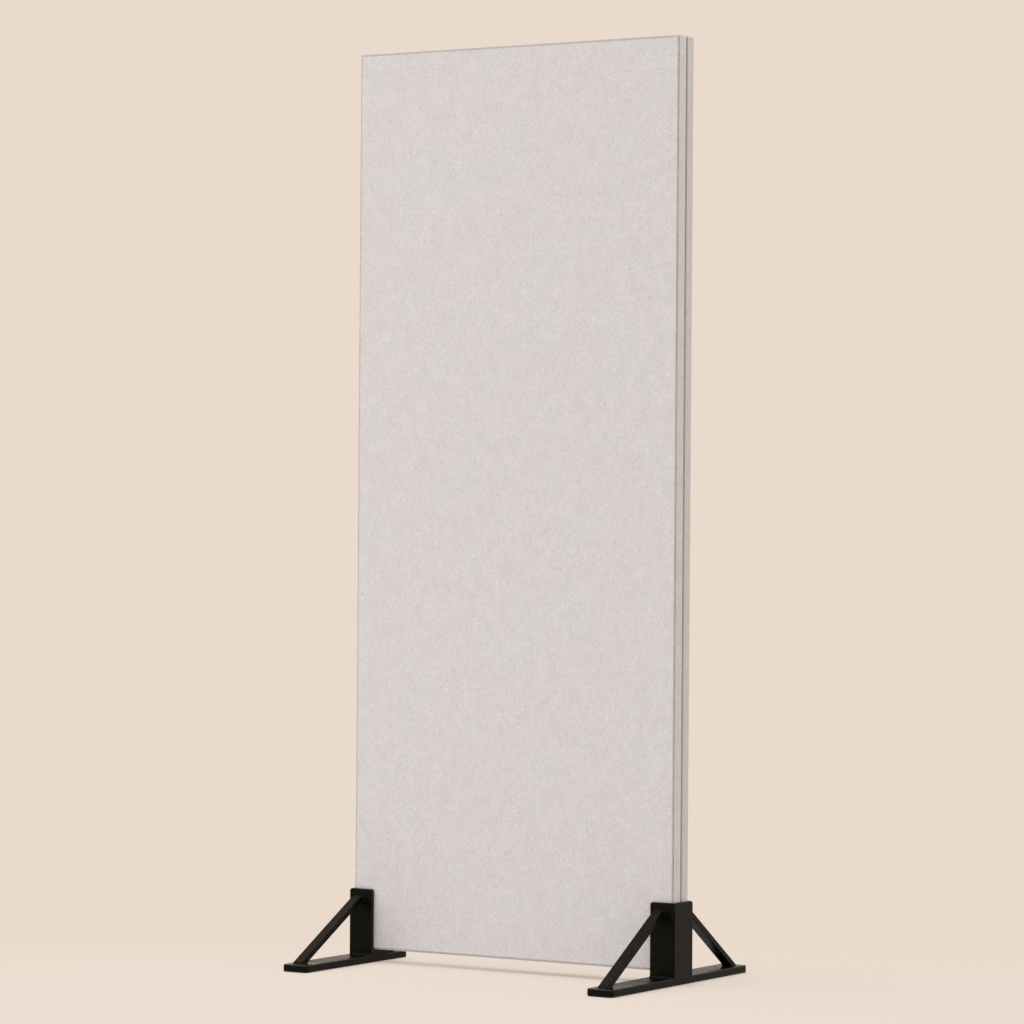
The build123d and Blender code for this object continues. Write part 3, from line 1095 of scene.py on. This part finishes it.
@dataclass(frozen=True)
class WeldFillet:
    """A smooth hollow weld where a member meets a plate, with its faint ripple."""

    leg: float = 2.6 * MM
    crown: float = 0.16
    ripple: float = 0.07 * MM
    ripple_pitch: float = 2.4 * MM
    spacing: float = 0.6 * MM
    least_steps: int = 2
    corner_steps: int = 3
    hollow_steps: int = 5

    def ring(self, shape: Shape, contact: Vectors, raised: Vectors, outward: Vectors) -> None:
        """Adds a closed weld round a four-sided contact.

        Args:
            shape: the mesh that takes the weld.
            contact: the contact's corners on the plate.
            raised: the points on the member above them.
            outward: the direction, along the plate, in which the side after each corner looks.
        """
        rows = []
        for number in range(4):
            following = (number + 1) % 4
            start, end = contact[number], contact[following]
            before, side = outward[number - 1], outward[number]
            for turn in np.linspace(0, 1, self.corner_steps + 1)[:-1]:
                away = before.slerp(side, float(turn))
                rows.append((start, start + away * self.leg, raised[number]))
            toe_start, toe_end = start + side * self.leg, end + side * self.leg
            for share in self._shares(start, end)[:-1]:
                member = raised[number].lerp(raised[following], share)
                rows.append((start.lerp(end, share), toe_start.lerp(toe_end, share), member))
        self._add(shape, rows, True)

    def strip(self, shape: Shape, start: Vector, end: Vector, along: Vector, up: Vector) -> None:
        """Adds a straight weld in a corner.

        Args:
            shape: the mesh that takes the weld.
            start: one end of the corner.
            end: its other end.
            along: the direction in which one leg lies.
            up: the direction of the other leg.
        """
        corners = [start.lerp(end, share) for share in self._shares(start, end)]
        self._add(shape, [(c, c + along * self.leg, c + up * self.leg) for c in corners], False)

    def _shares(self, start: Vector, end: Vector) -> list[float]:
        """Even shares of the way between two points, from 0 to 1."""
        steps = max(int((end - start).length / self.spacing), self.least_steps)
        return [float(share) for share in np.linspace(0, 1, steps + 1)]

    def _add(self, shape: Shape, rows: list[tuple[Vector, Vector, Vector]], closed: bool) -> None:
        """Adds the faces of a weld.

        Args:
            shape: the mesh that takes the weld.
            rows: along the weld, its corner, its point on the plate and its point on the member.
            closed: whether the last row joins the first.
        """
        travelled, last, bands = 0.0, rows[0][1], []
        for corner, plate, member in rows:
            travelled += (plate - last).length
            last = plate
            swell = self.ripple * math.sin(2 * math.pi * travelled / self.ripple_pitch)
            spread = plate + member - 2 * corner
            out = spread.normalized()
            band = [shape.verts.new(corner)]
            for t in np.linspace(0, 1, self.hollow_steps + 1):
                t = float(t)
                point = plate * (1 - t) ** 2 + corner * (2 * t * (1 - t)) + member * t**2
                point = point + spread * (self.crown * t * (1 - t))
                band.append(shape.verts.new(point + out * (swell * 4 * t * (1 - t))))
            bands.append(band)
        count = len(bands)
        for j in range(count if closed else count - 1):
            near, far = bands[j], bands[(j + 1) % count]
            for four in zip(near, near[1:] + near[:1], far[1:] + far[:1], far):
                shape.faces.new(four)
        if not closed:
            shape.faces.new(bands[0])
            shape.faces.new(list(reversed(bands[-1])))


@dataclass
class BracedFoot:
    """One welded steel foot: a base bar, a pocket, two braces and two pads."""

    side: Side
    finishes: Finishes
    ease: float = 1.0 * MM
    brace_ease: float = 0.8 * MM
    weld: WeldFillet = WeldFillet()

    def __post_init__(self) -> None:
        """Reads the foot's place from the frame."""
        self.name = self.side.name.lower()
        self.body = f"{self.name}_foot"
        self.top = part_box(f"{self.name}_base_bar")[1].z
        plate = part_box(f"{self.name}_outer_plate")
        self.plate_inner = plate[0].x if self.side is Side.RIGHT else plate[1].x

    def build(self) -> None:
        """Makes and dresses every piece of the foot."""
        for part in ("front_cheek", "rear_cheek", "saddle", "outer_plate"):
            self._place(part, self.ease, [(2, self.top), (0, self.plate_inner)])
        for way in Way:
            face = self._cheek(way)[2]
            self._place(f"{way.name.lower()}_brace", self.brace_ease, [(2, self.top), (1, face)])
            dress_node(f"{self.name}_{way.name.lower()}_pad", self.finishes.pad_rubber)
        dress_node(f"{self.name}_base_bar", self.finishes.bar_steel)
        self._welds()

    def _cheek(self, way: Way) -> tuple[Vector, Vector, float]:
        """A cheek's lowest and highest corner, and where its outer face lies."""
        low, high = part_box(f"{self.name}_{way.name.lower()}_cheek")
        return low, high, (low if way is Way.FRONT else high).y

    def _place(self, part: str, ease: float, seats: Sequence[tuple[int, float]]) -> None:
        """Makes one steel piece from its CAD node.

        Args:
            part: the node's name, without the foot's.
            ease: radius of its rounded edges.
            seats: planes in which it meets other steel, each an axis number and a place on it.
        """
        node = f"{self.name}_{part}"
        piece = eased_copy(node, f"{node}_coated", self.finishes.black_steel, ease, seats)
        declare(piece, self.body, [node])

    def _brace_contacts(self, way: Way) -> list[tuple[Vectors, Vectors, Vectors]]:
        """Where a brace meets the bar and the cheek.

        Args:
            way: which brace.

        Returns:
            For each end, the contact's corners, the points above them and the outward directions.
        """
        brace = merged_copy(f"{self.name}_{way.name.lower()}_brace")
        points = np.array([v.co for v in brace.verts])
        brace.free()
        leg, sign = self.weld.leg, way.value
        (x0, y0, base), (x1, y1, level) = points.min(axis=0), points.max(axis=0)
        face, toe = (y0, y1) if sign > 0 else (y1, y0)
        under_z = points[np.abs(points[:, 1] - face) < TOUCH][:, 2].min()
        under_y = sign * (sign * points[np.abs(points[:, 2] - base) < TOUCH][:, 1]).min()
        slope = (under_z - base) / abs(under_y - face)
        outward = Vector((0, sign, 0))
        corners = ((x0, toe), (x1, toe), (x1, under_y), (x0, under_y))
        toe_contact = [Vector((x, y, base)) for x, y in corners]
        corners = ((x0, level), (x1, level), (x1, under_z), (x0, under_z))
        top_contact = [Vector((x, face, z)) for x, z in corners]
        leans = [Vector((0, -sign * leg / slope if n > 1 else 0.0, 0)) for n in range(4)]
        drops = [Vector((0, 0, -leg * slope if n > 1 else 0.0)) for n in range(4)]
        toe_raised = [point + UP * leg + lean for point, lean in zip(toe_contact, leans)]
        top_raised = [point + outward * leg + drop for point, drop in zip(top_contact, drops)]
        return [
            (toe_contact, toe_raised, [outward, ACROSS, -outward, -ACROSS]),
            (top_contact, top_raised, [UP, ACROSS, -UP, -ACROSS]),
        ]

    def _welds(self) -> None:
        """Welds at both ends of the braces and along the foot of the pocket."""
        shape = bmesh.new()
        for way in Way:
            for contact, raised, outward in self._brace_contacts(way):
                self.weld.ring(shape, contact, raised, outward)
            low, high, face = self._cheek(way)
            ends = (Vector((x, face, self.top)) for x in (low.x, high.x))
            self.weld.strip(shape, *ends, Vector((0, way.value, 0)), UP)
        bmesh.ops.remove_doubles(shape, verts=shape.verts, dist=MERGE)
        bmesh.ops.recalc_face_normals(shape, faces=shape.faces)
        mesh = made_mesh(shape, "welds")
        smooth_by_angle(mesh, WELD_SHADING)
        piece = new_piece(f"{self.name}_weld_fillets", mesh, self.finishes.black_steel)
        declare(piece, self.body, [f"{self.name}_weld_beads"])


def seen_share(bench: NodeBench) -> Socket:
    """Tells rays that show a surface to the eye from those that only light it.

    Args:
        bench: the bench of the material or the surround.

    Returns:
        1 for rays that see it straight, mirrored or through glass, and 0 for the others.
    """
    path = bench.add("ShaderNodeLightPath").outputs
    seen = bench.maths("MAXIMUM", path["Is Camera Ray"], path["Is Glossy Ray"])
    return bench.maths("MAXIMUM", seen, path["Is Transmission Ray"])


@dataclass(frozen=True)
class Lamp:
    """A large soft lamp, with its diameter in metres and its power in watts.

    Glossy surfaces show it only where it is mirrored.
    """

    name: str
    place: Place
    target: Place
    size: float
    power: float
    mirrored: bool = False

    def hang(self, colour: Colour) -> None:
        """Hangs the lamp in its place, looking at its target.

        Args:
            colour: the colour of its light.
        """
        lamp = bpy.data.lights.new(self.name, "AREA")
        lamp.shape, lamp.size, lamp.energy, lamp.color = "DISK", self.size, self.power, colour
        holder = bpy.data.objects.new(self.name, lamp)
        holder.location = self.place
        aim = Vector(self.target) - Vector(self.place)
        holder.rotation_euler = aim.to_track_quat("-Z", "Y").to_euler()
        holder.visible_glossy = self.mirrored
        bpy.context.scene.collection.objects.link(holder)


@dataclass(frozen=True)
class Studio:
    """A pale floor that runs out into a cream surround, soft light, and the camera."""

    cream: Colour = (0.823, 0.701, 0.597)
    floor: Colour = (0.826, 0.722, 0.637)
    bounce: Colour = (0.87, 0.855, 0.84)
    # Painted light: the share of the floor's colour that glows where it is seen, which weakens its real
    # shadows.
    glow: float = 0.72
    # Reach of the occlusion that holds the glow back near the partition, a painted contact shadow.
    contact: float = 45 * MM
    contact_samples: int = 16
    light: Colour = (1.0, 0.985, 0.965)
    ambient: float = 0.83
    floor_radius: float = 14.0
    floor_sides: int = 96
    floor_roughness: float = 0.9
    floor_fade: Span = (0.35, 1.15)
    floor_middle: Place = (0.18, -0.48, 0.0)
    floor_stretch: Place = (2.0, 1.0, 1.0)
    camera_place: Place = (4.0322, -6.4374, 0.8611)
    camera_azimuth: float = 32.154
    camera_pitch: float = -0.032
    camera_roll: float = 0.415
    camera_sensor: float = 36.0
    camera_reach: Span = (0.05, 200.0)
    lens: float = 143.377
    lamps: tuple[Lamp, ...] = (
        Lamp("key_light", (-3.3, -6.0, 1.3), (0.0, 0.0, 0.6), 3.6, 62.0),
        Lamp("top_light", (-3.2, -0.6, 5.1), (0.0, 0.0, 0.2), 3.0, 90.0, mirrored=True),
        Lamp("side_light", (1.7, 0.1, 2.5), (0.35, 0.0, 1.5), 0.8, 3.0),
    )

    def build(self) -> None:
        """Makes the floor, the surround, the lamps and the camera."""
        self._world()
        self._floor()
        for lamp in self.lamps:
            lamp.hang(self.light)
        self._camera()

    def _world(self) -> None:
        """Cream where it is seen or reflected, and plain soft light elsewhere."""
        world = bpy.data.worlds.new("studio_surround")
        bpy.context.scene.world = world
        world.use_nodes = True
        bench = NodeBench(world.node_tree)
        world.node_tree.nodes.clear()
        seen = seen_share(bench)
        lit = bench.add("ShaderNodeBackground", {0: rgba(self.light), 1: self.ambient})
        shown = bench.add("ShaderNodeBackground", {0: rgba(self.cream), 1: 1.0})
        both = bench.add("ShaderNodeMixShader", {0: seen, 1: lit.outputs[0], 2: shown.outputs[0]})
        bench.add("ShaderNodeOutputWorld", {0: both.outputs[0]})

    def _away(self, bench: NodeBench) -> Socket:
        """How far the floor has faded into the surround.

        Args:
            bench: the floor material's bench.

        Returns:
            0 round the partition and 1 beyond the fade.
        """
        turn = (0.0, 0.0, math.radians(self.camera_azimuth))
        spot = {
            "Vector": bench.place(),
            "Location": self.floor_middle,
            "Rotation": turn,
            "Scale": self.floor_stretch,
        }
        turned = bench.add("ShaderNodeMapping", spot, vector_type="TEXTURE").outputs[0]
        away = bench.add("ShaderNodeVectorMath", {0: turned}, operation="LENGTH").outputs["Value"]
        fade = {"Value": away, "From Min": self.floor_fade[0], "From Max": self.floor_fade[1]}
        return bench.add("ShaderNodeMapRange", fade, interpolation_type="SMOOTHSTEP").outputs[0]

    def _floor(self) -> None:
        """A round floor that fades into the surround away from the partition."""
        shape = bmesh.new()
        bmesh.ops.create_circle(shape, cap_ends=True, segments=self.floor_sides, radius=self.floor_radius)
        mesh = made_mesh(shape, "studio_floor")
        material, bench, shader = new_material("studio_floor")
        seen = seen_share(bench)
        surface = {
            "Base Color": bench.mixed(seen, rgba(self.bounce), rgba(self.floor)),
            "Roughness": self.floor_roughness,
            "Specular IOR Level": 0.0,
        }
        bench.feed(shader, surface)
        # The seen floor partly glows, painted light that softens its shadows; occlusion within the contact
        # reach dims the glow, a painted contact shadow.
        glow = bench.add("ShaderNodeEmission", {0: rgba(self.floor), 1: 1.0})
        reach = {"Distance": self.contact}
        nearby = bench.add("ShaderNodeAmbientOcclusion", reach, samples=self.contact_samples).outputs["AO"]
        share = bench.maths("MULTIPLY", bench.maths("MULTIPLY", seen, self.glow), nearby)
        near = bench.add("ShaderNodeMixShader", {0: share, 1: shader.outputs[0], 2: glow.outputs[0]})
        gone = bench.add("ShaderNodeBsdfTransparent")
        share = bench.maths("MULTIPLY", seen, self._away(bench))
        both = bench.add("ShaderNodeMixShader", {0: share, 1: near.outputs[0], 2: gone.outputs[0]})
        bench.feed(material.node_tree.nodes["Material Output"], {"Surface": both.outputs[0]})
        new_piece("studio_floor", mesh, material)

    def _camera(self) -> None:
        """Stands the camera where the photograph was taken from."""
        camera = bpy.data.cameras.new("photo_camera")
        camera.lens, camera.sensor_width = self.lens, self.camera_sensor
        camera.clip_start, camera.clip_end = self.camera_reach
        holder = bpy.data.objects.new("photo_camera", camera)
        turn = Matrix.Rotation(math.radians(self.camera_azimuth), 4, "Z")
        turn = turn @ Matrix.Rotation(math.radians(90.0 + self.camera_pitch), 4, "X")
        turn = turn @ Matrix.Rotation(math.radians(self.camera_roll), 4, "Z")
        holder.matrix_world = Matrix.Translation(self.camera_place) @ turn
        bpy.context.scene.collection.objects.link(holder)
        bpy.context.scene.camera = holder


def main() -> None:
    """Builds the partition's looks and the studio round it."""
    logging.basicConfig(level=logging.INFO, format="%(name)s: %(message)s")
    finishes = Finishes()
    soft_cloth, stitches = SoftClothTree(), StitchTree()
    for way in Way:
        WrappedBoard(way, finishes, soft_cloth, stitches).build()
    for name in ("left", "right", "bottom", "top"):
        dress_node(f"{name}_spacer", finishes.gap_strip)
    dress_node("joining_dowels", finishes.dowel_wood)
    for side in Side:
        BracedFoot(side, finishes).build()
    Studio().build()
    bpy.context.scene.view_settings.view_transform = "Standard"


if __name__ == "__main__":
    main()
